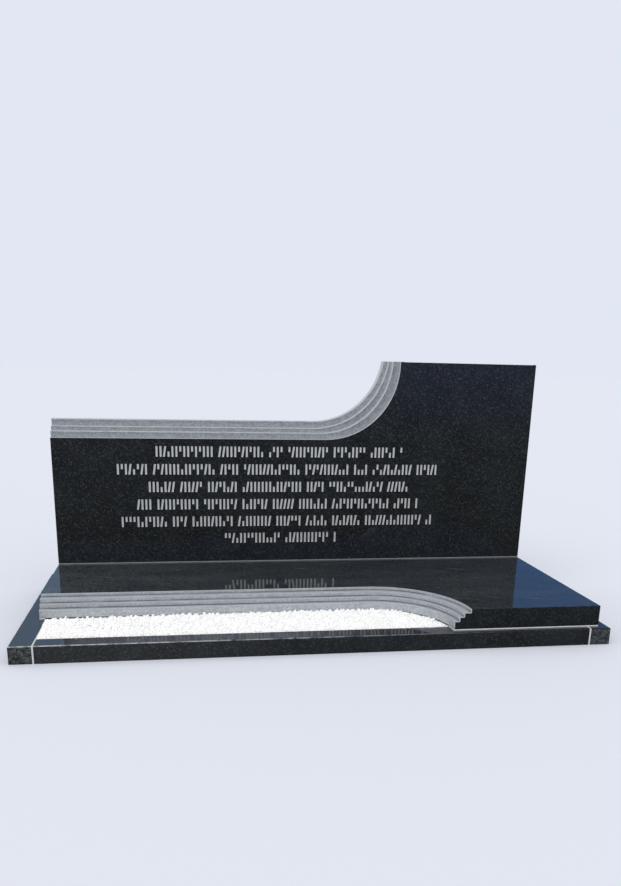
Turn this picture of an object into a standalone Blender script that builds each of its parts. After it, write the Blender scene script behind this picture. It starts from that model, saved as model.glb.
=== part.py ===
"""Kerbed memorial in black granite.

Four low kerbs make a frame on the ground. A ledger slab lies on the frame. Its front left corner is
cut away in steps, and white stone chips fill the frame there. A headstone stands at the back of the
slab, low on the left and high on the right, with a stepped moulding along the top of its low part.
Sizes are in metres. X runs along the front, Y runs to the back and Z is up. The origin is on the
ground, under the middle of the frame.
"""

import math
import random

import bmesh
import bpy
from mathutils import Matrix, Vector, noise

# Kerb frame
FRAME_LENGTH = 1.450
FRAME_DEPTH = 0.632
KERB_HEIGHT = 0.043
FRONT_KERB_WIDTH = 0.046
SIDE_KERB_WIDTH = 0.0515
REAR_KERB_WIDTH = 0.056
CORNER_JOINT = 0.0043
KERB_ARRIS = 0.002

# Ledger slab
LEDGER_THICKNESS = 0.051
LEDGER_LEFT_MARGIN = 0.038
LEDGER_RIGHT_MARGIN = 0.026
LEDGER_FRONT_MARGIN = 0.016
LEDGER_REAR_MARGIN = 0.016
LEDGER_JOINT = 0.0034
SLAB_ARRIS = 0.001

# Stepped cut-out in the slab, from its top edge down
RECESS_LENGTH = 1.0465
RECESS_DEPTH = 0.216
RECESS_RADIUS = 0.215
RECESS_RISERS = (0.0085, 0.011, 0.011)
RECESS_TREADS = (0.0165, 0.0115, 0.0125)

# Headstone
HEADSTONE_HEIGHT = 0.575
HEADSTONE_THICKNESS = 0.070
HEADSTONE_REAR_MARGIN = 0.016
HEADSTONE_JOINT = 0.0034

# Stepped moulding on the headstone, from its front edge back and up
SHOULDER_LENGTH = 0.9775
SHOULDER_HEIGHT = 0.354
MOULDING_RISES = (0.0175, 0.0125, 0.0185)
MOULDING_RUNS = (0.0200, 0.0070, 0.0115)
MOULDING_RADII = (0.212, 0.206, 0.218, 0.204)
MOULDING_BACK_THICKNESS = 0.025

# Inscription field, in strokes that are no letters
ROW_LENGTHS = (0.713, 0.929, 0.757, 0.823, 0.915, 0.330)
ROW_TOP_MARGIN = 0.019
ROW_FOOT_MARGIN = 0.052
ROW_SHIFT = -0.0545
STROKE_HEIGHT = 0.033
STROKE_WIDTH = 0.0060
STROKE_DEPTH = 0.0016
STROKE_PITCH = 0.0110
STROKE_LEAN = 0.005
STROKE_PROUD_SHARE = 0.25
HALF_STROKE_SHARE = 0.55
WORD_SPACE = 0.012
WORD_STROKES = (15, 12, 4, 11, 9, 7, 6, 8, 16, 5)
STROKE_SEED = 7

# Stone chips
CHIP_SIZE = 0.011
CHIP_HEAP = 0.006
CHIP_TIP_LENGTH = 0.150
CHIP_RELIEF = 0.0022
CHIP_LEFT_SHARE = 0.50
CHIP_TIP_SHARE = 0.6

# Room between stones that touch, overrun of cutters, sides of a quarter round, and what counts as
# the same place
GAP = 0.0003
OVERRUN = 0.020
ARC_SIDES = 20
SAME_PLACE = 0.00001

LEFT = -FRAME_LENGTH / 2
RIGHT = FRAME_LENGTH / 2
FRONT = -FRAME_DEPTH / 2
BACK = FRAME_DEPTH / 2
INNER_LEFT = LEFT + SIDE_KERB_WIDTH
INNER_RIGHT = RIGHT - SIDE_KERB_WIDTH
INNER_FRONT = FRONT + FRONT_KERB_WIDTH
INNER_BACK = BACK - REAR_KERB_WIDTH
SLAB_LEFT = LEFT + LEDGER_LEFT_MARGIN
SLAB_RIGHT = RIGHT - LEDGER_RIGHT_MARGIN
SLAB_FRONT = FRONT + LEDGER_FRONT_MARGIN
SLAB_BACK = BACK - LEDGER_REAR_MARGIN
SLAB_FOOT = KERB_HEIGHT + LEDGER_JOINT
SLAB_TOP = SLAB_FOOT + LEDGER_THICKNESS
STONE_BACK = SLAB_BACK - HEADSTONE_REAR_MARGIN
STONE_FRONT = STONE_BACK - HEADSTONE_THICKNESS
STONE_FOOT = SLAB_TOP + HEADSTONE_JOINT
STONE_TOP = STONE_FOOT + HEADSTONE_HEIGHT

BLACK_POLISHED = ("black_granite_polished", (0.012, 0.014, 0.016, 1.0), 0.12)
MORTAR = ("pale_mortar", (0.62, 0.61, 0.58, 1.0), 0.85)
WHITE_MARBLE = ("white_marble_chips", (0.86, 0.86, 0.84, 1.0), 0.60)


def clear_scene():
    for item in list(bpy.data.objects):
        bpy.data.objects.remove(item, do_unlink=True)


def new_collection(name):
    collection = bpy.data.collections.new(name)
    bpy.context.scene.collection.children.link(collection)
    return collection


def paint(item, finish):
    """Gives an object a material of its own."""
    name, colour, roughness = finish
    material = bpy.data.materials.new(f"{name}_{item.name}")
    material.use_nodes = True
    shader = material.node_tree.nodes["Principled BSDF"]
    shader.inputs["Base Color"].default_value = colour
    shader.inputs["Roughness"].default_value = roughness
    material.diffuse_color = colour
    item.data.materials.append(material)


def mesh_object(name, shape, collection):
    """Turns a bmesh into a linked object."""
    mesh = bpy.data.meshes.new(name)
    bmesh.ops.recalc_face_normals(shape, faces=shape.faces)
    shape.to_mesh(mesh)
    shape.free()
    item = bpy.data.objects.new(name, mesh)
    collection.objects.link(item)
    return item


def block(name, low, high, collection):
    """A box between two corners."""
    shape = bmesh.new()
    bmesh.ops.create_cube(shape, size=1.0)
    low = Vector(low)
    size = Vector(high) - low
    bmesh.ops.scale(shape, vec=size, verts=shape.verts)
    bmesh.ops.translate(shape, vec=low + size / 2, verts=shape.verts)
    return mesh_object(name, shape, collection)


def prism(name, outline, thickness, collection):
    """A flat outline in X and Y, given a thickness from Z = 0 up."""
    curve = bpy.data.curves.new(name + "_outline", "CURVE")
    curve.dimensions = "2D"
    curve.fill_mode = "BOTH"
    curve.extrude = thickness / 2
    spline = curve.splines.new("POLY")
    spline.points.add(len(outline) - 1)
    for point, (x, y) in zip(spline.points, outline):
        point.co = (x, y, 0.0, 1.0)
    spline.use_cyclic_u = True
    drawn = bpy.data.objects.new(name + "_outline", curve)
    collection.objects.link(drawn)
    mesh = bpy.data.meshes.new_from_object(drawn.evaluated_get(bpy.context.evaluated_depsgraph_get()))
    shape = bmesh.new()
    shape.from_mesh(mesh)
    bmesh.ops.remove_doubles(shape, verts=shape.verts, dist=SAME_PLACE)
    bmesh.ops.translate(shape, vec=(0.0, 0.0, thickness / 2), verts=shape.verts)
    bpy.data.objects.remove(drawn)
    bpy.data.meshes.remove(mesh)
    return mesh_object(name, shape, collection)


def quarter_round(centre, radius, start_degrees):
    """Points along a quarter circle, turning left from its start."""
    points = []
    for side in range(ARC_SIDES + 1):
        angle = math.radians(start_degrees + 90.0 * side / ARC_SIDES)
        points.append((centre[0] + radius * math.cos(angle), centre[1] + radius * math.sin(angle)))
    return points


def combine(target, other, operation):
    modifier = target.modifiers.new(operation.lower() + "_" + other.name, "BOOLEAN")
    modifier.operation = operation
    modifier.object = other
    other.hide_render = True
    other.display_type = "WIRE"


def chamfer(item, width, is_edge):
    """Breaks the edges of a box whose middle passes the test."""
    mesh = item.data
    weights = mesh.attributes.new("bevel_weight_edge", "FLOAT", "EDGE")
    for edge in mesh.edges:
        middle = (mesh.vertices[edge.vertices[0]].co + mesh.vertices[edge.vertices[1]].co) / 2
        weights.data[edge.index].value = 1.0 if is_edge(middle) else 0.0
    modifier = item.modifiers.new("arris", "BEVEL")
    modifier.limit_method = "WEIGHT"
    modifier.width = width
    modifier.segments = 1


def is_near(value, *places):
    return any(abs(value - place) < SAME_PLACE for place in places)


def is_outer_top(middle):
    """True for the kerbs' top edges on the outside of the frame."""
    is_outer = is_near(middle.x, LEFT, RIGHT) or is_near(middle.y, FRONT, BACK)
    return is_near(middle.z, KERB_HEIGHT) and is_outer


def make_kerbs(parts):
    """Side kerbs run the whole depth, and the front and rear kerbs stand between them."""
    between_left = INNER_LEFT + CORNER_JOINT
    between_right = INNER_RIGHT - CORNER_JOINT
    corners = {
        "left_kerb": ((LEFT, FRONT), (INNER_LEFT, BACK)),
        "right_kerb": ((INNER_RIGHT, FRONT), (RIGHT, BACK)),
        "front_kerb": ((between_left, FRONT), (between_right, INNER_FRONT)),
        "rear_kerb": ((between_left, INNER_BACK), (between_right, BACK)),
    }
    for name, (low, high) in corners.items():
        kerb = block(name, (*low, 0.0), (*high, KERB_HEIGHT), parts)
        chamfer(kerb, KERB_ARRIS, is_outer_top)
        paint(kerb, BLACK_POLISHED)


def make_corner_mortar(parts):
    """A thin plate of mortar at each end of the front and rear kerbs."""
    sides = {"left": INNER_LEFT, "right": INNER_RIGHT - CORNER_JOINT}
    rows = {"front": (FRONT, INNER_FRONT), "rear": (INNER_BACK, BACK)}
    for side, start in sides.items():
        for row, (near, far) in rows.items():
            low = (start + GAP, near, 0.0)
            high = (start + CORNER_JOINT - GAP, far, KERB_HEIGHT)
            paint(block(f"{row}_{side}_corner_mortar", low, high, parts), MORTAR)


def recess_outline(inset):
    """Plan of the cut-out in the slab, drawn in from its top edge."""
    radius = RECESS_RADIUS - inset
    centre = (SLAB_LEFT + RECESS_LENGTH - RECESS_RADIUS, SLAB_FRONT + RECESS_DEPTH - RECESS_RADIUS)
    near = SLAB_FRONT - OVERRUN
    left = SLAB_LEFT - OVERRUN
    corner = quarter_round(centre, radius, 0.0)
    return [(left, near), (centre[0] + radius, near), *corner, (left, centre[1] + radius)]


def make_ledger(parts, cutters):
    """The slab, with a cutter for each step of its cut-out."""
    low = (SLAB_LEFT, SLAB_FRONT, SLAB_FOOT)
    high = (SLAB_RIGHT, SLAB_BACK, SLAB_TOP)
    ledger = block("ledger_slab", low, high, parts)
    chamfer(ledger, SLAB_ARRIS, lambda middle: is_near(middle.z, SLAB_TOP))
    inset = 0.0
    floor = SLAB_TOP
    levels = [*RECESS_RISERS, floor - SLAB_FOOT + OVERRUN]
    for step, (riser, tread) in enumerate(zip(levels, [*RECESS_TREADS, 0.0])):
        floor -= riser
        height = SLAB_TOP + OVERRUN - floor
        cutter = prism(f"recess_step_{step + 1}", recess_outline(inset), height, cutters)
        cutter.location.z = floor
        combine(ledger, cutter, "DIFFERENCE")
        inset += tread
    paint(ledger, BLACK_POLISHED)


def make_ledger_bedding(parts, cutters):
    """Mortar under the slab, only where it lies on the kerbs."""
    low = (SLAB_LEFT, SLAB_FRONT, KERB_HEIGHT + GAP)
    high = (SLAB_RIGHT, SLAB_BACK, SLAB_FOOT - GAP)
    bedding = block("ledger_bedding", low, high, parts)
    below = KERB_HEIGHT - OVERRUN
    inside = block(
        "bedding_inside",
        (INNER_LEFT, INNER_FRONT, below),
        (INNER_RIGHT, INNER_BACK, SLAB_FOOT + OVERRUN),
        cutters,
    )
    open_corner = prism("bedding_open_corner", recess_outline(sum(RECESS_TREADS)), 3 * OVERRUN, cutters)
    open_corner.location.z = below
    combine(bedding, inside, "DIFFERENCE")
    combine(bedding, open_corner, "DIFFERENCE")
    paint(bedding, MORTAR)


def shoulder_outline(length, height, radius):
    """Front view of what is cut off the headstone, above and left of one line of the moulding."""
    right = SLAB_LEFT + length
    low = STONE_FOOT + height
    centre = (right - radius, low + radius)
    left = SLAB_LEFT - OVERRUN
    above = max(STONE_TOP, centre[1]) + OVERRUN
    return [(left, low), *quarter_round(centre, radius, -90.0), (right, above), (left, above)]


def stand_up(item, back):
    """Turns a prism from lying flat to standing, with its back face at Y = back."""
    place = Matrix.Translation((0.0, back, 0.0))
    item.matrix_world = place @ Matrix.Rotation(math.radians(90.0), 4, "X")


def make_headstone(parts, cutters):
    """The upright slab, with a cutter for each line of its moulding and one for all strokes."""
    low = (SLAB_LEFT, STONE_FRONT, STONE_FOOT)
    high = (SLAB_RIGHT, STONE_BACK, STONE_TOP)
    stone = block("headstone", low, high, parts)
    chamfer(stone, SLAB_ARRIS, lambda middle: not is_near(middle.z, STONE_FOOT))
    setback = (HEADSTONE_THICKNESS - MOULDING_BACK_THICKNESS) / len(MOULDING_RISES)
    length = SHOULDER_LENGTH
    height = SHOULDER_HEIGHT
    for step, radius in enumerate(MOULDING_RADII):
        is_last = step == len(MOULDING_RISES)
        depth = HEADSTONE_THICKNESS + OVERRUN if is_last else setback * (step + 1)
        outline = shoulder_outline(length, height, radius)
        cutter = prism(f"moulding_step_{step + 1}", outline, OVERRUN + depth, cutters)
        stand_up(cutter, STONE_FRONT + depth)
        combine(stone, cutter, "DIFFERENCE")
        if not is_last:
            length -= MOULDING_RUNS[step]
            height += MOULDING_RISES[step]
    combine(stone, make_strokes(cutters), "DIFFERENCE")
    paint(stone, BLACK_POLISHED)


def stroke_hull(shape, x, low, high, lean):
    """A shallow groove with sloping sides, widest just proud of the face, with a ridge at its deepest."""
    half = STROKE_WIDTH / 2 * (1.0 + STROKE_PROUD_SHARE)
    proud = STROKE_DEPTH * STROKE_PROUD_SHARE
    height = high - low
    ends = ((low, -lean / 2), (high, lean / 2))
    corners = []
    for z, shift in ends:
        for side in (-half, half):
            corners.append((x + shift + side, STONE_FRONT - proud, z))
    for share in (STROKE_WIDTH / height, 1.0 - STROKE_WIDTH / height):
        corners.append((x + lean * (share - 0.5), STONE_FRONT + STROKE_DEPTH, low + height * share))
    verts = [shape.verts.new(corner) for corner in corners]
    bmesh.ops.convex_hull(shape, input=verts)


def row_places(row_length, word):
    """Where the strokes of a row stand, in groups, spread over its whole length."""
    places = [0.0]
    in_word = 1
    while places[-1] + STROKE_PITCH < row_length:
        is_full = in_word == WORD_STROKES[word % len(WORD_STROKES)]
        places.append(places[-1] + STROKE_PITCH + (WORD_SPACE if is_full else 0.0))
        word += 1 if is_full else 0
        in_word = 1 if is_full else in_word + 1
    stretch = (row_length - STROKE_WIDTH) / places[-1]
    return [place * stretch for place in places], word + 1


def make_strokes(cutters):
    """Rows of separate strokes, tall, short or leaning, in the place of words."""
    chance = random.Random(STROKE_SEED)
    shape = bmesh.new()
    middle = (SLAB_LEFT + SLAB_RIGHT) / 2 + ROW_SHIFT
    top_row = STONE_FOOT + SHOULDER_HEIGHT - ROW_TOP_MARGIN - STROKE_HEIGHT
    drop = (top_row - STONE_FOOT - ROW_FOOT_MARGIN) / (len(ROW_LENGTHS) - 1)
    word = 0
    for row, row_length in enumerate(ROW_LENGTHS):
        low = top_row - row * drop
        start = middle - (row_length - STROKE_WIDTH) / 2
        places, word = row_places(row_length, word)
        for place in places:
            kind = chance.choice(("tall", "tall", "tall", "lean", "upper", "lower"))
            foot = low + (STROKE_HEIGHT * (1.0 - HALF_STROKE_SHARE) if kind == "upper" else 0.0)
            head = low + STROKE_HEIGHT * (HALF_STROKE_SHARE if kind == "lower" else 1.0)
            stroke_hull(shape, start + place, foot, head, STROKE_LEAN if kind == "lean" else 0.0)
    return mesh_object("strokes", shape, cutters)


def make_headstone_bedding(parts):
    low = (SLAB_LEFT, STONE_FRONT, SLAB_TOP + GAP)
    high = (SLAB_RIGHT, STONE_BACK, STONE_FOOT - GAP)
    paint(block("headstone_bedding", low, high, parts), MORTAR)


def step_distance(x, y):
    """How far a place in the open corner is from the foot of the slab's lowest step."""
    across = max(x - (SLAB_LEFT + RECESS_LENGTH - RECESS_RADIUS), 0.0)
    up = max(y - (SLAB_FRONT + RECESS_DEPTH - RECESS_RADIUS), 0.0)
    return RECESS_RADIUS - sum(RECESS_TREADS) - math.hypot(across, up)


def share_of(value, end):
    """A value as a share of its end, kept between 0 and 1."""
    return min(max(value / end, 0.0), 1.0)


def chip_level(x, y):
    """Height of the chips: level at the front kerb and heaped against the step, less so at both ends."""
    foot = SLAB_FRONT + RECESS_DEPTH - sum(RECESS_TREADS)
    tip = SLAB_LEFT + RECESS_LENGTH - sum(RECESS_TREADS)
    near_step = 1.0 - share_of(step_distance(x, y), foot - INNER_FRONT)
    near_tip = CHIP_TIP_SHARE + (1.0 - CHIP_TIP_SHARE) * share_of(tip - x, CHIP_TIP_LENGTH)
    near_left = CHIP_LEFT_SHARE + (1.0 - CHIP_LEFT_SHARE) * share_of(x - INNER_LEFT, RECESS_LENGTH / 2)
    heap = CHIP_HEAP * near_step * near_tip * near_left
    return KERB_HEIGHT + heap + CHIP_RELIEF * noise.noise(Vector((x, y, 0.0)) / CHIP_SIZE)


def make_chips(parts, cutters):
    """The bed of chips: a lumpy block, kept to the open corner between kerbs and slab."""
    near = Vector((INNER_LEFT + GAP, INNER_FRONT + GAP, 0.0))
    size = Vector((SLAB_LEFT + RECESS_LENGTH, SLAB_FRONT + RECESS_DEPTH, 0.0)) - near
    columns = round(size.x / CHIP_SIZE)
    rows = round(size.y / CHIP_SIZE)
    shape = bmesh.new()
    bmesh.ops.create_grid(shape, x_segments=columns, y_segments=rows, size=0.5)
    bmesh.ops.scale(shape, vec=(size.x, size.y, 1.0), verts=shape.verts)
    bmesh.ops.translate(shape, vec=near + size / 2, verts=shape.verts)
    grown = bmesh.ops.extrude_face_region(shape, geom=shape.faces[:])
    for item in grown["geom"]:
        if isinstance(item, bmesh.types.BMVert):
            item.co.z = chip_level(item.co.x, item.co.y)
    chips = mesh_object("stone_chips", shape, parts)
    room = prism("chip_room", recess_outline(sum(RECESS_TREADS) + GAP), KERB_HEIGHT + SLAB_TOP, cutters)
    room.location.z = -KERB_HEIGHT
    combine(chips, room, "INTERSECT")
    paint(chips, WHITE_MARBLE)


clear_scene()
memorial = new_collection("kerbed_memorial")
tools = new_collection("cutters")
make_kerbs(memorial)
make_corner_mortar(memorial)
make_ledger(memorial, tools)
make_ledger_bedding(memorial, tools)
make_headstone(memorial, tools)
make_headstone_bedding(memorial)
make_chips(memorial, tools)
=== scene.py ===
import math
import random

import bmesh
import bpy
from mathutils import Euler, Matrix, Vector
from mathutils.bvhtree import BVHTree


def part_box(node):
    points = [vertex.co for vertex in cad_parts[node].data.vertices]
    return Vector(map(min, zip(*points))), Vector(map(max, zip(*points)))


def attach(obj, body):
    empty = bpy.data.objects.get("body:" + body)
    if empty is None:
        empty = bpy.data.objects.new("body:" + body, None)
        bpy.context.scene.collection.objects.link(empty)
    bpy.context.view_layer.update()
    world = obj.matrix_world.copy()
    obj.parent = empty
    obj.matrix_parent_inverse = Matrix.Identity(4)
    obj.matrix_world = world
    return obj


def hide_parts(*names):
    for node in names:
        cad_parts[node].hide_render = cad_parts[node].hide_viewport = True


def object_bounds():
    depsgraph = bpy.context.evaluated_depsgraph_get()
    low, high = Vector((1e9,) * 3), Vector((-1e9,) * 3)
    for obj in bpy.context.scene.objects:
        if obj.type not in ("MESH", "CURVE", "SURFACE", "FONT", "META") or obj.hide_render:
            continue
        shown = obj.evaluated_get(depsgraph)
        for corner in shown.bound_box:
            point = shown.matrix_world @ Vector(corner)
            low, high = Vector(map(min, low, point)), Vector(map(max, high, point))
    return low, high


# Kerbed memorial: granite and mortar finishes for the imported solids, and loose marble chips in place
# of their bed. Lengths are in metres. Every finish is made of nodes, from each point's place and facing.

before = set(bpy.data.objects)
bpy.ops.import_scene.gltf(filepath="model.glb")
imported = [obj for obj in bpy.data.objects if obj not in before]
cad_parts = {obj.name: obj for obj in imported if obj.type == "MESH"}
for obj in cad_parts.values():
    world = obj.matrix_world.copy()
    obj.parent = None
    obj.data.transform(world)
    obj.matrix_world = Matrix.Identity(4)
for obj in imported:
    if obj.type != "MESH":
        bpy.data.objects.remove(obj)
cad_low, cad_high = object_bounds()
SLAB_LOW, SLAB_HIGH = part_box("ledger_slab")
STONE_LOW, STONE_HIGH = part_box("headstone")


def colour(red, green, blue):
    return (red, green, blue, 1.0)


WHITE = colour(1.0, 1.0, 1.0)

# Plan of the slab's stepped cut-out, as the solids have it
RECESS_LENGTH = 1.0465
RECESS_DEPTH = 0.216
RECESS_RADIUS = 0.215
RECESS_RISERS = (0.0085, 0.011, 0.011)
RECESS_TREADS = (0.0165, 0.0115, 0.0125)

# Front view of the headstone's stepped moulding and strokes, as the solids have them
SHOULDER_LENGTH = 0.9775
SHOULDER_HEIGHT = 0.354
MOULDING_RISES = (0.0175, 0.0125, 0.0185)
MOULDING_RUNS = (0.0200, 0.0070, 0.0115)
MOULDING_RADII = (0.212, 0.206, 0.218, 0.204)
MOULDING_BACK_THICKNESS = 0.025
STROKE_DEPTH = 0.0016

# Sockets of a Mix node, which has some for numbers and others for colours
MIX_SHARE = 0
MIX_NUMBERS = (2, 3)
MIX_COLOURS = (6, 7)
NUMBER_RESULT = 0
COLOUR_RESULT = 2

# Masks: where they turn behind a face, which faces look up, and the full part of a line's width
BEHIND_FACE = (0.0002, 0.0004)
ON_FACE = (0.0004, 0.0002)
LOOKS_UP = (0.6, 0.95)
LINE_CORE = 0.4

# Noise: its detail and its roughness where it isn't plain
EVEN_DETAIL = 1.0
SOFT_DETAIL = 2.0
FINE_DETAIL = 3.0
FINEST_DETAIL = 4.0
LIVELY = 0.6

# Polished granite: sizes of its grains, its slow patches, its gloss, and dark, middle and light tones
SMALL_GRAIN = 0.0016
LARGE_GRAIN = 0.0042
SMALL_GRAIN_SHARE = 0.6
LARGE_GRAIN_SHARE = 0.4
LIGHT_GRAINS = (0.62, 0.95)
PATCH_SCALE = 9.0
PATCH_TURN = (0.3, 0.7)
GRANITE_IOR = 1.5
POLISHED = 0.05
KERB_POLISHED = 0.06
BLACK_TONES = (colour(0.0085, 0.0105, 0.0115), colour(0.0145, 0.0178, 0.0192), colour(0.044, 0.050, 0.054))
STONE_TONES = (colour(0.0105, 0.0122, 0.0134), colour(0.0160, 0.0188, 0.0205), colour(0.062, 0.068, 0.072))
HAZE_TONES = (colour(0.026, 0.028, 0.030), colour(0.034, 0.037, 0.040), colour(0.080, 0.085, 0.090))

# Honed granite: streaks per metre along and across, specks, and low and high tones
STREAKS = (14.0, 420.0)
STREAK_SHARE = 0.65
HONED_SPECK = 0.0040
HONED_SPECK_SHARE = 0.35
HONED_TURN = (0.34, 0.66)
HONED = 0.62
RECESS_TONES = (colour(0.330, 0.355, 0.385), colour(0.480, 0.505, 0.540))
MOULDING_TONES = (colour(0.155, 0.172, 0.195), colour(0.405, 0.430, 0.460))
# Light tone of arrises and ledges: the honed edge's own colour with a painted highlight
ARRIS_AND_HIGHLIGHT = colour(0.52, 0.54, 0.56)

# Broken patches along the painted highlight and shade lines and the kerbs' arrises: noise per metre along
# each axis, and where it turns
RECESS_LINE_BREAKS = ((16.0, 16.0, 60.0), (0.15, 0.55))
MOULDING_LINE_BREAKS = ((40.0, 40.0, 40.0), (0.2, 0.5))
KERB_LINE_BREAKS = ((60.0, 60.0, 60.0), (0.3, 0.55))

# Dust: smears per metre along each axis, and specks
SMEARS = (3.0, 16.0, 1.0)
SMEAR_SHARE = 0.55
DUST_SPECK = 0.0030
DUST_SPECK_SHARE = 0.45
DUST_TURN = (0.28, 0.72)
DUST = colour(0.14, 0.155, 0.165)

# Scratches: their slant, lines per metre along and across, and the patches that have them
SCRATCH_SLOPE = -0.35
SCRATCHES = (6.0, 130.0)
SCRATCH_TURN = (0.66, 0.74)
SCRATCH_PATCH_SCALE = 7.0
SCRATCH_PATCH_TURN = (0.48, 0.62)
SCRATCH_SHARE = 0.7
SCRATCH = colour(0.19, 0.20, 0.21)

# Ledger slab: widths of the lines on its steps (painted highlights on its edges, painted shade in its inner
# corners, and the profile), treads with painted shade, and dust that grows to the left
TOP_LINE = 0.0020
CORNER_LINE = 0.0030
NOSING_LINE = 0.0016
PROFILE_LINE = 0.0028
# Painted shade along the steps' inner corners
CORNER_SHADE = colour(0.150, 0.165, 0.180)
# Painted shade that makes the treads, which look up, darker than the risers
IS_TREAD = (0.5, 0.9)
TREAD_SHARE = 0.55
TREAD_SHADE = colour(0.300, 0.325, 0.355)
IN_RECESS = (-0.0009, -0.0006)
PROFILE_FADE = 0.01
SLAB_DUST_SPAN = (-0.05, -0.65)
SLAB_DUST = (0.27, 0.44)

# Headstone: painted highlight lines on the moulding, its polished back corner, the share of painted shade on
# the moulding's faces, ledges painted light, grooves away from its edges, and dust
MOULDING_LINE = 0.0026
BACK_CORNER = 0.0030
PAINTED_SHADE_SHARE = 0.50
IS_LEDGE = (-0.9, -0.5)
ABOVE_SHOULDER = (-0.0012, -0.0008)
BELOW_SHOULDER = (-0.010, -0.012)
GROOVE_START = (0.00012, 0.0003)
GROOVE_END = (0.0004, 0.0001)
GROOVE_MARGIN = (0.010, 0.012)
STROKE_GREY = colour(0.55, 0.56, 0.575)
STONE_DUST = 0.25

# Kerbs: haze on their fronts, dust on their tops beside the chips, and sawn ends
IS_FRONT = (-0.9, -0.99)
HAZE_SPAN = (0.05, -0.45)
HAZE = (0.25, 0.85)
CHIPS_BEGIN = (-0.62, -0.57)
CHIPS_END = (0.15, -0.05)
KERB_DUST = (0.16, 0.60)
KERB_DUST_LEAST = 0.6
KERB_DUST_TONE = colour(0.150, 0.158, 0.190)
END_SPAN = (0.004, 0.001)
END_GRAINS = (0.0044, 0.0022)
END_GRAIN_SHARE = 0.5
END_TURN = (0.30, 0.80)
LEFT_END = (colour(0.010, 0.013, 0.011), colour(0.096, 0.104, 0.096))
RIGHT_END = (colour(0.013, 0.015, 0.017), colour(0.094, 0.102, 0.113))
SAWN = 0.6

# Kerb arrises, in the honed tone with a painted highlight: the slopes that count as one, its share, and the X
# where it is missing and where whole
SLOPE_BEGINS = (0.3, 0.5)
SLOPE_ENDS = (0.95, 0.85)
ARRIS_SHARE = 0.8
ARRIS_WHOLE = (2.0, 1.0)
ARRIS_FADES = (0.45, -0.60)
ARRIS_NONE = (-1.0, -2.0)

# Mortar: sand, patches and relief, and low and high tones by place
SAND = 0.0012
SAND_SHARE = 0.35
MORTAR_PATCH_SCALE = 60.0
MORTAR_PATCH_SHARE = 0.65
MORTAR_ROUGHNESS = 0.9
MORTAR_BUMP = 0.4
MORTAR_RELIEF = 0.0006
BED_TONES = (colour(0.70, 0.71, 0.72), colour(0.97, 0.975, 0.98))
JOINT_TONES = (colour(0.40, 0.41, 0.41), colour(0.80, 0.80, 0.79))
FOOT_TONES = (colour(0.15, 0.16, 0.165), colour(0.42, 0.43, 0.44))

# Marble: tones from chip to chip, faint grey veins, light scattered inside the stone, a faint painted glow,
# and relief
MARBLE_TONES = (colour(0.93, 0.93, 0.935), colour(0.99, 0.99, 0.985))
VEIN_SCALE = 180.0
VEIN_TURN = (0.62, 0.75)
VEIN_SHARE = 0.20
VEIN_GREY = colour(0.70, 0.71, 0.73)
MARBLE_ROUGHNESS = 0.65
SCATTER = 0.7
SCATTER_SPREAD = (1.0, 1.0, 1.0)
SCATTER_LENGTH = 0.004
MARBLE_EMISSION = 0.055
MARBLE_NOISE_SCALE = 900.0
MARBLE_BUMP = 0.35
MARBLE_RELIEF = 0.0004

# Shape of one chip of radius 1
CHIP_CORNERS = 11
CHIP_WIDTHS = (0.65, 0.95)
CHIP_HEIGHTS = (0.55, 0.85)
CHIP_LUMPS = (0.86, 1.0)

# Loose chips: kinds, sizes, how they are strewn, and where the bed must be around each
CHIP_SEED = 31
CHIP_KINDS = 60
CHIP_PITCH = 0.0088
CHIP_RADII = (0.0052, 0.0084)
CHIP_LAYERS = (-0.0066, -0.0022)
CHIP_JITTER = (0.1, 0.9)
CHIP_RISE = (-0.0012, 0.0016)
CHIP_REACHES = ((0.8, 0.0), (-0.8, 0.0), (0.0, 0.35), (0.0, -0.8), (0.0, 0.0))

# The chips' bed: how far it sinks above its foot, and how far above it the rays start that find it
BED_SINK = 0.0025
BED_FOOT = 0.0050
RAY_START = 0.01

# Camera, measured on the photograph, which is 886 pixels high, with its sensor in millimetres
PHOTO_HEIGHT = 886
FOCAL_PIXELS = 781.84
CENTRE_ROW = 589.3
SENSOR = 36.0
CAMERA_PLACE = (-0.3231, -2.0375, 0.6631)
CAMERA_DEGREES = (73.9506, -1.2757, -8.8961)
CLIP_START = 0.01

# Floor and light
FLOOR_SIZE = 60.0
FLOOR_TONE = colour(0.70, 0.73, 0.81)
LAMP_ENERGY = 0.9
LAMP_DEGREES = 50.0
LAMP_PLACE = (-1.2, -1.4, 3.0)

# World: what lights the scene, what the camera sees, and what the polish reflects
LIGHT_STRENGTH = 0.86
BACKDROP = colour(0.76, 0.80, 0.90)
SKY_LEFT = colour(0.22, 0.34, 0.50)
SKY_RIGHT = colour(0.055, 0.165, 0.42)
SKY_FRONT = colour(0.08, 0.12, 0.36)
DARK_GROUND = colour(0.020, 0.022, 0.020)
LEFT_TO_RIGHT = (-0.25, 0.40)
FRONT_TO_BACK = (-0.2, 0.2)
HORIZON = (-0.10, 0.02)


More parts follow.
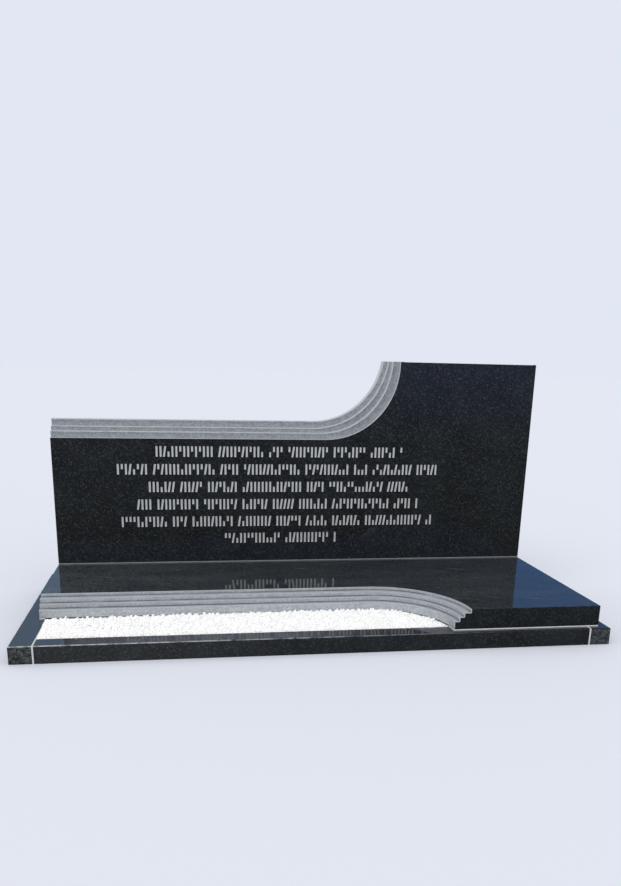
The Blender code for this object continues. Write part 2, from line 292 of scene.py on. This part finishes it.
class Nodes:
    """A node tree, filled by short calls that take sockets or plain values."""

    def __init__(self, tree):
        self.nodes = tree.nodes
        self.links = tree.links

    def put(self, socket, value):
        if isinstance(value, bpy.types.NodeSocket):
            self.links.new(value, socket)
        else:
            socket.default_value = value

    def math(self, operation, *values):
        node = self.nodes.new("ShaderNodeMath")
        node.operation = operation
        for socket, value in zip(node.inputs, values):
            self.put(socket, value)
        return node.outputs[0]

    def split(self, vector):
        node = self.nodes.new("ShaderNodeSeparateXYZ")
        self.links.new(vector, node.inputs[0])
        return tuple(node.outputs)

    def join(self, *values):
        node = self.nodes.new("ShaderNodeCombineXYZ")
        for socket, value in zip(node.inputs, values):
            self.put(socket, value)
        return node.outputs[0]

    def step(self, value, start, end):
        """0 below start, 1 above end, and even between them; start above end turns it over."""
        node = self.nodes.new("ShaderNodeMapRange")
        self.put(node.inputs["Value"], value)
        node.inputs["From Min"].default_value = start
        node.inputs["From Max"].default_value = end
        return node.outputs[0]

    def past(self, value, place, span, way=1.0):
        """A step whose span is measured from a place, upwards or, where way is -1, downwards."""
        start, end = span
        return self.step(value, place + way * start, place + way * end)

    def mix(self, share, *colours):
        """The first colour where share is 0, and the second where it is 1."""
        node = self.nodes.new("ShaderNodeMix")
        node.data_type = "RGBA"
        self.put(node.inputs[MIX_SHARE], share)
        for index, value in zip(MIX_COLOURS, colours):
            self.put(node.inputs[index], value)
        return node.outputs[COLOUR_RESULT]

    def blend(self, share, *numbers):
        """The first number where share is 0, and the second where it is 1."""
        node = self.nodes.new("ShaderNodeMix")
        self.put(node.inputs[MIX_SHARE], share)
        for index, value in zip(MIX_NUMBERS, numbers):
            self.put(node.inputs[index], value)
        return node.outputs[NUMBER_RESULT]

    def product(self, *values):
        result = values[0]
        for value in values[1:]:
            result = self.math("MULTIPLY", result, value)
        return result

    def most(self, values):
        result = values[0]
        for value in values[1:]:
            result = self.math("MAXIMUM", result, value)
        return result

    def weigh(self, first, first_share, second, second_share):
        """The sum of two values, each times its share."""
        return self.math("ADD", self.product(first, first_share), self.product(second, second_share))

    def length(self, a, b):
        return self.math("SQRT", self.math("ADD", self.product(a, a), self.product(b, b)))

    def outside(self, value, low, high):
        """How far a value is below low or above high, and 0 between them."""
        below = self.math("SUBTRACT", low, value)
        above = self.math("SUBTRACT", value, high)
        return self.math("MAXIMUM", self.math("MAXIMUM", below, above), 0.0)

    def line(self, measure_a, range_a, measure_b, range_b, width):
        """1 where two measures are in their ranges, and 0 from width away on."""
        far = self.length(self.outside(measure_a, *range_a), self.outside(measure_b, *range_b))
        return self.step(far, width, width * LINE_CORE)

    def corner_line(self, measure_a, place_a, measure_b, place_b, width):
        return self.line(measure_a, (place_a, place_a), measure_b, (place_b, place_b), width)


class Finish(Nodes):
    """A material's nodes, with each point's place, facing and island, and the patterns that use them."""

    def __init__(self, name):
        self.material = bpy.data.materials.new(name)
        self.material.use_nodes = True
        super().__init__(self.material.node_tree)
        self.shader = self.nodes["Principled BSDF"]
        self.place = self.nodes.new("ShaderNodeTexCoord").outputs["Object"]
        self.x, self.y, self.z = self.split(self.place)
        geometry = self.nodes.new("ShaderNodeNewGeometry")
        self.normal_y, self.normal_z = self.split(geometry.outputs["True Normal"])[1:]
        self.island = geometry.outputs["Random Per Island"]

    def set(self, name, value):
        self.put(self.shader.inputs[name], value)

    def noise(self, vector, scale, detail, roughness=0.5):
        node = self.nodes.new("ShaderNodeTexNoise")
        self.links.new(vector, node.inputs["Vector"])
        node.inputs["Scale"].default_value = scale
        node.inputs["Detail"].default_value = detail
        node.inputs["Roughness"].default_value = roughness
        return node.outputs["Fac"]

    def stretched_noise(self, scales, detail, roughness=0.5):
        """Noise with its own scale along each axis."""
        node = self.nodes.new("ShaderNodeVectorMath")
        node.operation = "MULTIPLY"
        self.links.new(self.place, node.inputs[0])
        node.inputs[1].default_value = scales
        return self.noise(node.outputs[0], 1.0, detail, roughness)

    def streaks(self, along, across, scales, detail, roughness=0.5):
        """Noise over two measures, each with its own scale."""
        vector = self.join(self.product(along, scales[0]), self.product(across, scales[1]), 0.0)
        return self.noise(vector, 1.0, detail, roughness)

    def grains(self, size):
        """A number from 0 to 1 that is steady over each grain."""
        node = self.nodes.new("ShaderNodeTexVoronoi")
        self.links.new(self.place, node.inputs["Vector"])
        node.inputs["Scale"].default_value = 1.0 / size
        return self.split(node.outputs["Color"])[0]

    def line_breaks(self, scales, span):
        """Patches where an edge's line is whole, and gaps between them."""
        return self.step(self.stretched_noise(scales, FINE_DETAIL), *span)

    def bump(self, height, strength, distance):
        node = self.nodes.new("ShaderNodeBump")
        node.inputs["Strength"].default_value = strength
        node.inputs["Distance"].default_value = distance
        self.put(node.inputs["Height"], height)
        self.set("Normal", node.outputs[0])

    def corner_measures(self, across, up, radius):
        """How far a point is inside a line with a quarter round, and how far along it.

        across and up run from the round's centre, and the line is straight where either is below 0.
        """
        u = self.math("MAXIMUM", across, 0.0)
        v = self.math("MAXIMUM", up, 0.0)
        inset = self.math("SUBTRACT", radius, self.length(u, v))
        turned = self.math("MULTIPLY", self.math("ARCTAN2", u, v), radius)
        along = self.math("ADD", self.math("MINIMUM", across, 0.0), turned)
        return inset, along

    def granite(self, dark, middle, light):
        """Fine granite: small grains, a few of them light, in slow patches."""
        patch = self.noise(self.place, PATCH_SCALE, FINE_DETAIL)
        base = self.mix(self.step(patch, *PATCH_TURN), dark, middle)
        small = self.grains(SMALL_GRAIN)
        large = self.grains(LARGE_GRAIN)
        grain = self.weigh(small, SMALL_GRAIN_SHARE, large, LARGE_GRAIN_SHARE)
        return self.mix(self.step(grain, *LIGHT_GRAINS), base, light)

    def honed(self, along, across, tones, shade=None):
        """Grey ground stone with long streaks from the grinder, and painted shade: lighter where shade is
        high.
        """
        streak = self.streaks(along, across, STREAKS, FINE_DETAIL, LIVELY)
        amount = self.weigh(streak, STREAK_SHARE, self.grains(HONED_SPECK), HONED_SPECK_SHARE)
        amount = self.step(amount, *HONED_TURN)
        if shade is not None:
            amount = self.blend(PAINTED_SHADE_SHARE, amount, shade)
        return self.mix(amount, *tones)

    def dusty(self, base, share, tone=DUST, least=0.0):
        """A thin film with faint smears on faces that look up, nowhere thinner than least of its share."""
        smear = self.stretched_noise(SMEARS, FINE_DETAIL, LIVELY)
        amount = self.weigh(smear, SMEAR_SHARE, self.grains(DUST_SPECK), DUST_SPECK_SHARE)
        film = self.product(self.step(self.normal_z, *LOOKS_UP),
                            self.blend(self.step(amount, *DUST_TURN), least, 1.0))
        return self.mix(self.product(film, share), base, tone)

    def scratched(self, base):
        """Faint fine scratches on faces that look up."""
        along = self.math("ADD", self.x, self.product(self.y, SCRATCH_SLOPE))
        across = self.math("SUBTRACT", self.y, self.product(self.x, SCRATCH_SLOPE))
        line = self.step(self.streaks(along, across, SCRATCHES, EVEN_DETAIL), *SCRATCH_TURN)
        patch = self.step(self.noise(self.place, SCRATCH_PATCH_SCALE, SOFT_DETAIL), *SCRATCH_PATCH_TURN)
        up = self.step(self.normal_z, *LOOKS_UP)
        return self.mix(self.product(up, line, patch, SCRATCH_SHARE), base, SCRATCH)

    def done(self, tone, roughness):
        """Sets the colour and roughness, and gives the material."""
        self.set("Base Color", tone)
        self.set("Roughness", roughness)
        return self.material


def polished_granite(name, tones):
    """A finish with granite's gloss, and its polished colour."""
    finish = Finish(name)
    finish.set("IOR", GRANITE_IOR)
    return finish, finish.granite(*tones)


def make_ledger_finish():
    """Polished black slab whose stepped cut-out is honed grey, with painted highlights on its edges, painted
    shade in its inner corners and on its treads, and the steps' profile on its front.
    """
    finish, polished = polished_granite("ledger_granite", BLACK_TONES)
    centre_x = SLAB_LOW.x + RECESS_LENGTH - RECESS_RADIUS
    centre_y = SLAB_LOW.y + RECESS_DEPTH - RECESS_RADIUS
    across = finish.math("SUBTRACT", finish.x, centre_x)
    up = finish.math("SUBTRACT", finish.y, centre_y)
    inset, along = finish.corner_measures(across, up, RECESS_RADIUS)
    grey = finish.honed(along, finish.math("ADD", inset, finish.z), RECESS_TONES)
    # Painted shade: treads, which look up, are made darker than the risers
    is_tread = finish.step(finish.normal_z, *IS_TREAD)
    grey = finish.mix(finish.product(is_tread, TREAD_SHARE), grey, TREAD_SHADE)
    # Painted highlights along the cut-out's top edge and along each tread's nosing
    highlight_lines = [finish.corner_line(inset, 0.0, finish.z, SLAB_HIGH.z, TOP_LINE)]
    shade_lines = []
    profile_lines = []
    level = SLAB_HIGH.z
    edge = 0.0
    for riser, tread in zip((*RECESS_RISERS, level), (*RECESS_TREADS, 0.0)):
        below = max(level - riser, SLAB_LOW.z)
        profile_lines.append(finish.line(inset, (edge, edge), finish.z, (below, level), PROFILE_LINE))
        profile_lines.append(finish.line(inset, (edge, edge + tread), finish.z, (below, below), PROFILE_LINE))
        if tread:
            shade_lines.append(finish.corner_line(inset, edge, finish.z, below, CORNER_LINE))
            highlight_lines.append(finish.corner_line(inset, edge + tread, finish.z, below, NOSING_LINE))
        level = below
        edge += tread
    line_breaks = finish.line_breaks(*RECESS_LINE_BREAKS)
    grey = finish.mix(finish.product(finish.most(highlight_lines), line_breaks), grey, ARRIS_AND_HIGHLIGHT)
    # Painted shade in the inner corners, where each riser meets the tread below
    grey = finish.mix(finish.product(finish.most(shade_lines), line_breaks), grey, CORNER_SHADE)
    is_cut = finish.product(
        finish.step(inset, *IN_RECESS),
        finish.past(finish.y, SLAB_LOW.y, BEHIND_FACE),
        finish.past(finish.x, SLAB_LOW.x, BEHIND_FACE),
        finish.past(finish.z, SLAB_LOW.z, BEHIND_FACE),
    )
    on_front = finish.product(
        finish.step(finish.x, centre_x, centre_x + PROFILE_FADE),
        finish.past(finish.y, SLAB_LOW.y, ON_FACE),
    )
    film = finish.blend(finish.step(finish.x, *SLAB_DUST_SPAN), *SLAB_DUST)
    black = finish.scratched(finish.dusty(polished, film))
    # The steps' profile on the front, in the arris tone with its painted highlight
    black = finish.mix(finish.product(finish.most(profile_lines), on_front), black, ARRIS_AND_HIGHLIGHT)
    return finish.done(finish.mix(is_cut, black, grey), finish.blend(is_cut, POLISHED, HONED))


def make_headstone_finish():
    """Polished black stone with a honed grey stepped moulding, whose edges and ledges carry painted
    highlights and whose faces carry painted shade, and light grey strokes.
    """
    finish, polished = polished_granite("headstone_granite", STONE_TONES)
    depth = finish.math("SUBTRACT", finish.y, STONE_LOW.y)
    setback = (STONE_HIGH.y - STONE_LOW.y - MOULDING_BACK_THICKNESS) / len(MOULDING_RISES)
    length = SHOULDER_LENGTH
    height = SHOULDER_HEIGHT
    highlight_lines = []
    # Painted shade: each face of the moulding is lighter at its foot and darker towards its top
    shade_bands = 0.0
    for step, radius in enumerate(MOULDING_RADII):
        across = finish.math("SUBTRACT", finish.x, STONE_LOW.x + length - radius)
        down = finish.math("SUBTRACT", STONE_LOW.z + height + radius, finish.z)
        inside, run = finish.corner_measures(across, down, radius)
        if step == 0:
            first, along = inside, run
        highlight_lines.append(finish.corner_line(inside, 0.0, depth, setback * step, MOULDING_LINE))
        if step < len(MOULDING_RISES):
            shade_bands = finish.math("ADD", shade_bands, finish.step(inside, MOULDING_RISES[step], 0.0))
            length -= MOULDING_RUNS[step]
            height += MOULDING_RISES[step]
    shade = finish.math("FRACT", shade_bands)
    grey = finish.honed(along, finish.math("ADD", first, depth), MOULDING_TONES, shade)
    # Painted highlights along the moulding's edges, and ledges painted light as if lit from above
    lines = finish.product(finish.most(highlight_lines), finish.line_breaks(*MOULDING_LINE_BREAKS))
    lit_ledge = finish.step(finish.normal_y, *IS_LEDGE)
    grey = finish.mix(finish.math("MAXIMUM", lines, lit_ledge), grey, ARRIS_AND_HIGHLIGHT)
    back_corner = finish.corner_line(finish.x, STONE_LOW.x, finish.y, STONE_HIGH.y, BACK_CORNER)
    in_moulding = finish.product(
        finish.math("SUBTRACT", 1.0, back_corner),
        finish.step(first, *ABOVE_SHOULDER),
        finish.step(depth, *BEHIND_FACE),
        finish.past(finish.y, STONE_HIGH.y, BEHIND_FACE, -1.0),
        finish.past(finish.x, STONE_LOW.x, BEHIND_FACE),
        finish.past(finish.z, STONE_HIGH.z, BEHIND_FACE, -1.0),
    )
    in_groove = finish.product(
        finish.step(depth, *GROOVE_START),
        finish.past(depth, STROKE_DEPTH, GROOVE_END),
        finish.step(first, *BELOW_SHOULDER),
        finish.past(finish.z, STONE_LOW.z, GROOVE_MARGIN),
        finish.past(finish.x, STONE_LOW.x, GROOVE_MARGIN),
        finish.past(finish.x, STONE_HIGH.x, GROOVE_MARGIN, -1.0),
    )
    body = finish.mix(in_moulding, finish.dusty(polished, STONE_DUST), grey)
    rough = finish.math("MAXIMUM", in_moulding, in_groove)
    return finish.done(finish.mix(in_groove, body, STROKE_GREY), finish.blend(rough, POLISHED, HONED))


def make_kerb_finish(name, arris_span, end_tones=None):
    """Polished kerb with a light arris, in the honed tone with a painted highlight, over a span of X, and a
    sawn front end where it has tones.

    The front is hazy towards the left, and the top has most dust along the chips.
    """
    finish, polished = polished_granite(name, BLACK_TONES)
    on_front = finish.step(finish.normal_y, *IS_FRONT)
    haze = finish.product(on_front, finish.blend(finish.step(finish.x, *HAZE_SPAN), *HAZE))
    tone = finish.mix(haze, polished, finish.granite(*HAZE_TONES))
    beside_chips = finish.product(finish.step(finish.x, *CHIPS_BEGIN), finish.step(finish.x, *CHIPS_END))
    tone = finish.dusty(tone, finish.blend(beside_chips, *KERB_DUST), KERB_DUST_TONE, KERB_DUST_LEAST)
    # Light arris: the honed chamfer's own tone and a painted highlight, which fades where the span says
    slope = finish.product(
        finish.step(finish.normal_z, *SLOPE_BEGINS),
        finish.step(finish.normal_z, *SLOPE_ENDS),
    )
    rough = finish.product(slope, finish.line_breaks(*KERB_LINE_BREAKS), finish.step(finish.x, *arris_span), ARRIS_SHARE)
    tone = finish.mix(rough, tone, ARRIS_AND_HIGHLIGHT)
    if end_tones:
        is_end = finish.product(on_front, finish.past(finish.y, cad_low.y, END_SPAN))
        large, small = (finish.grains(size) for size in END_GRAINS)
        speck = finish.weigh(large, END_GRAIN_SHARE, small, END_GRAIN_SHARE)
        tone = finish.mix(is_end, tone, finish.mix(finish.step(speck, *END_TURN), *end_tones))
        rough = finish.math("MAXIMUM", rough, is_end)
    return finish.done(tone, finish.blend(rough, KERB_POLISHED, SAWN))


def make_mortar_finish(name, tones):
    """Matt sandy mortar in soft patches."""
    finish = Finish(name)
    patch = finish.noise(finish.place, MORTAR_PATCH_SCALE, FINEST_DETAIL, LIVELY)
    amount = finish.weigh(finish.grains(SAND), SAND_SHARE, patch, MORTAR_PATCH_SHARE)
    finish.bump(amount, MORTAR_BUMP, MORTAR_RELIEF)
    return finish.done(finish.mix(amount, *tones), MORTAR_ROUGHNESS)


def make_marble_finish():
    """White crushed marble, a little different from chip to chip, with faint veins and a faint painted glow
    of its own.
    """
    finish = Finish("marble_chips")
    base = finish.mix(finish.island, *MARBLE_TONES)
    vein = finish.step(finish.noise(finish.place, VEIN_SCALE, FINEST_DETAIL, LIVELY), *VEIN_TURN)
    tone = finish.mix(finish.product(vein, VEIN_SHARE), base, VEIN_GREY)
    finish.set("Subsurface Weight", SCATTER)
    finish.set("Subsurface Radius", SCATTER_SPREAD)
    finish.set("Subsurface Scale", SCATTER_LENGTH)
    # Painted glow: the chips give off a little light, which lifts the shade between them
    finish.set("Emission Color", WHITE)
    finish.set("Emission Strength", MARBLE_EMISSION)
    finish.bump(finish.noise(finish.place, MARBLE_NOISE_SCALE, FINE_DETAIL), MARBLE_BUMP, MARBLE_RELIEF)
    return finish.done(tone, MARBLE_ROUGHNESS)


def give(node, material):
    """Puts a material on a solid in place of its own."""
    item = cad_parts[node]
    item.data.materials.clear()
    item.data.materials.append(material)


def add_to_scene(name, data):
    item = bpy.data.objects.new(name, data)
    bpy.context.scene.collection.objects.link(item)
    return item


def chip_shape(chance):
    """One crushed stone of radius 1: the hull of a few corners on a lopsided ball."""
    squeeze = Vector((1.0, chance.uniform(*CHIP_WIDTHS), chance.uniform(*CHIP_HEIGHTS)))
    shape = bmesh.new()
    for _ in range(CHIP_CORNERS):
        point = Vector([chance.gauss(0.0, 1.0) for _ in range(3)]).normalized()
        shape.verts.new(point * squeeze * chance.uniform(*CHIP_LUMPS))
    result = bmesh.ops.convex_hull(shape, input=shape.verts)
    spare = [item for item in result["geom_interior"] if isinstance(item, bmesh.types.BMVert)]
    bmesh.ops.delete(shape, geom=spare, context="VERTS")
    shape.verts.index_update()
    corners = [vertex.co.copy() for vertex in shape.verts]
    faces = [[vertex.index for vertex in face.verts] for face in shape.faces]
    shape.free()
    return corners, faces


def make_chips():
    """Loose chips in two layers over the bed's sunk shape, kept inside the open corner."""
    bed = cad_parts["stone_chips"].data
    surface = BVHTree.FromPolygons([vertex.co for vertex in bed.vertices],
                                   [polygon.vertices for polygon in bed.polygons])
    low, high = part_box("stone_chips")
    above = high.z + RAY_START
    down = Vector((0.0, 0.0, -1.0))

    def level(x, y):
        """The bed's height at a place, and None beside it."""
        hit = surface.ray_cast(Vector((x, y, above)), down)[0]
        return None if hit is None else hit.z

    def sunk(corner):
        """A corner of the bed, lowered unless it is at the bed's foot."""
        return corner - Vector((0.0, 0.0, BED_SINK if corner.z > BED_FOOT else 0.0))

    chance = random.Random(CHIP_SEED)
    kinds = [chip_shape(chance) for _ in range(CHIP_KINDS)]
    points = [sunk(vertex.co) for vertex in bed.vertices]
    faces = [list(polygon.vertices) for polygon in bed.polygons]
    columns = int((high.x - low.x) / CHIP_PITCH)
    rows = int((high.y - low.y) / CHIP_PITCH)
    for lift in CHIP_LAYERS:
        for place in range((columns + 1) * (rows + 1)):
            column, row = divmod(place, rows + 1)
            radius = chance.uniform(*CHIP_RADII)
            x = low.x + (column + chance.uniform(*CHIP_JITTER)) * CHIP_PITCH
            y = low.y + (row + chance.uniform(*CHIP_JITTER)) * CHIP_PITCH
            turn = Euler([chance.uniform(0.0, math.tau) for _ in range(3)]).to_matrix()
            rise = lift + chance.uniform(*CHIP_RISE)
            kind_corners, kind_faces = chance.choice(kinds)
            around = [level(x + side * radius, y + away * radius) for side, away in CHIP_REACHES]
            if None in around:
                continue
            centre = Vector((x, y, around[-1] + rise))
            start = len(points)
            points += [centre + turn @ corner * radius for corner in kind_corners]
            faces += [[start + index for index in face] for face in kind_faces]
    mesh = bpy.data.meshes.new("marble_chips")
    mesh.from_pydata(points, [], faces)
    mesh.update()
    mesh.materials.append(make_marble_finish())
    chips = add_to_scene("marble_chips", mesh)
    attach(chips, "root")
    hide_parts("stone_chips")


def make_camera():
    data = bpy.data.cameras.new("camera")
    data.sensor_width = SENSOR
    data.lens = FOCAL_PIXELS * SENSOR / PHOTO_HEIGHT
    data.shift_y = (CENTRE_ROW - PHOTO_HEIGHT / 2) / PHOTO_HEIGHT
    data.clip_start = CLIP_START
    camera = add_to_scene("camera", data)
    camera.location = CAMERA_PLACE
    camera.rotation_euler = [math.radians(angle) for angle in CAMERA_DEGREES]
    bpy.context.scene.camera = camera


def make_floor():
    """A wide matt floor that the polish doesn't reflect."""
    shape = bmesh.new()
    bmesh.ops.create_grid(shape, x_segments=1, y_segments=1, size=FLOOR_SIZE)
    mesh = bpy.data.meshes.new("floor")
    shape.to_mesh(mesh)
    shape.free()
    material = bpy.data.materials.new("pale_floor")
    material.use_nodes = True
    shader = material.node_tree.nodes["Principled BSDF"]
    shader.inputs["Base Color"].default_value = FLOOR_TONE
    shader.inputs["Roughness"].default_value = 1.0
    shader.inputs["Specular IOR Level"].default_value = 0.0
    mesh.materials.append(material)
    floor = add_to_scene("floor", mesh)
    floor.visible_glossy = False


def make_light():
    """A soft lamp from the upper left front, which the polish doesn't reflect."""
    data = bpy.data.lights.new("softbox", "SUN")
    data.energy = LAMP_ENERGY
    data.angle = math.radians(LAMP_DEGREES)
    lamp = add_to_scene("softbox", data)
    lamp.location = LAMP_PLACE
    lamp.rotation_euler = lamp.location.to_track_quat("Z", "Y").to_euler()
    lamp.visible_glossy = False


def make_world():
    """Even white light, pale to the camera, and a blue sky and dark ground in the polish."""
    world = bpy.data.worlds.new("studio")
    world.use_nodes = True
    tree = Nodes(world.node_tree)
    tree.nodes.clear()

    def shade(tone, strength=1.0):
        node = tree.nodes.new("ShaderNodeBackground")
        tree.put(node.inputs["Color"], tone)
        node.inputs["Strength"].default_value = strength
        return node.outputs[0]

    def choose(*values):
        """The second value where the first is 0, and the third where it is 1."""
        node = tree.nodes.new("ShaderNodeMixShader")
        for socket, value in zip(node.inputs, values):
            tree.put(socket, value)
        return node.outputs[0]

    side, ahead, rise = tree.split(tree.nodes.new("ShaderNodeTexCoord").outputs["Generated"])
    sky = tree.mix(tree.step(side, *LEFT_TO_RIGHT), SKY_LEFT, SKY_RIGHT)
    sky = tree.mix(tree.step(ahead, *FRONT_TO_BACK), SKY_FRONT, sky)
    reflected = tree.mix(tree.step(rise, *HORIZON), DARK_GROUND, sky)
    rays = tree.nodes.new("ShaderNodeLightPath").outputs
    plain = choose(rays["Is Camera Ray"], shade(WHITE, LIGHT_STRENGTH), shade(BACKDROP))
    output = tree.nodes.new("ShaderNodeOutputWorld")
    tree.put(output.inputs[0], choose(rays["Is Glossy Ray"], plain, shade(reflected)))
    bpy.context.scene.world = world
    bpy.context.scene.view_settings.view_transform = "Standard"


give("ledger_slab", make_ledger_finish())
give("headstone", make_headstone_finish())
give("left_kerb", make_kerb_finish("left_kerb_granite", ARRIS_WHOLE, LEFT_END))
give("right_kerb", make_kerb_finish("right_kerb_granite", ARRIS_NONE, RIGHT_END))
give("front_kerb", make_kerb_finish("front_kerb_granite", ARRIS_FADES))
give("rear_kerb", make_kerb_finish("rear_kerb_granite", ARRIS_NONE))
give("ledger_bedding", make_mortar_finish("bed_mortar", BED_TONES))
give("headstone_bedding", make_mortar_finish("foot_mortar", FOOT_TONES))
joint_mortar = make_mortar_finish("joint_mortar", JOINT_TONES)
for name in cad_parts:
    if "corner_mortar" in name:
        give(name, joint_mortar)
make_chips()
make_camera()
make_floor()
make_light()
make_world()
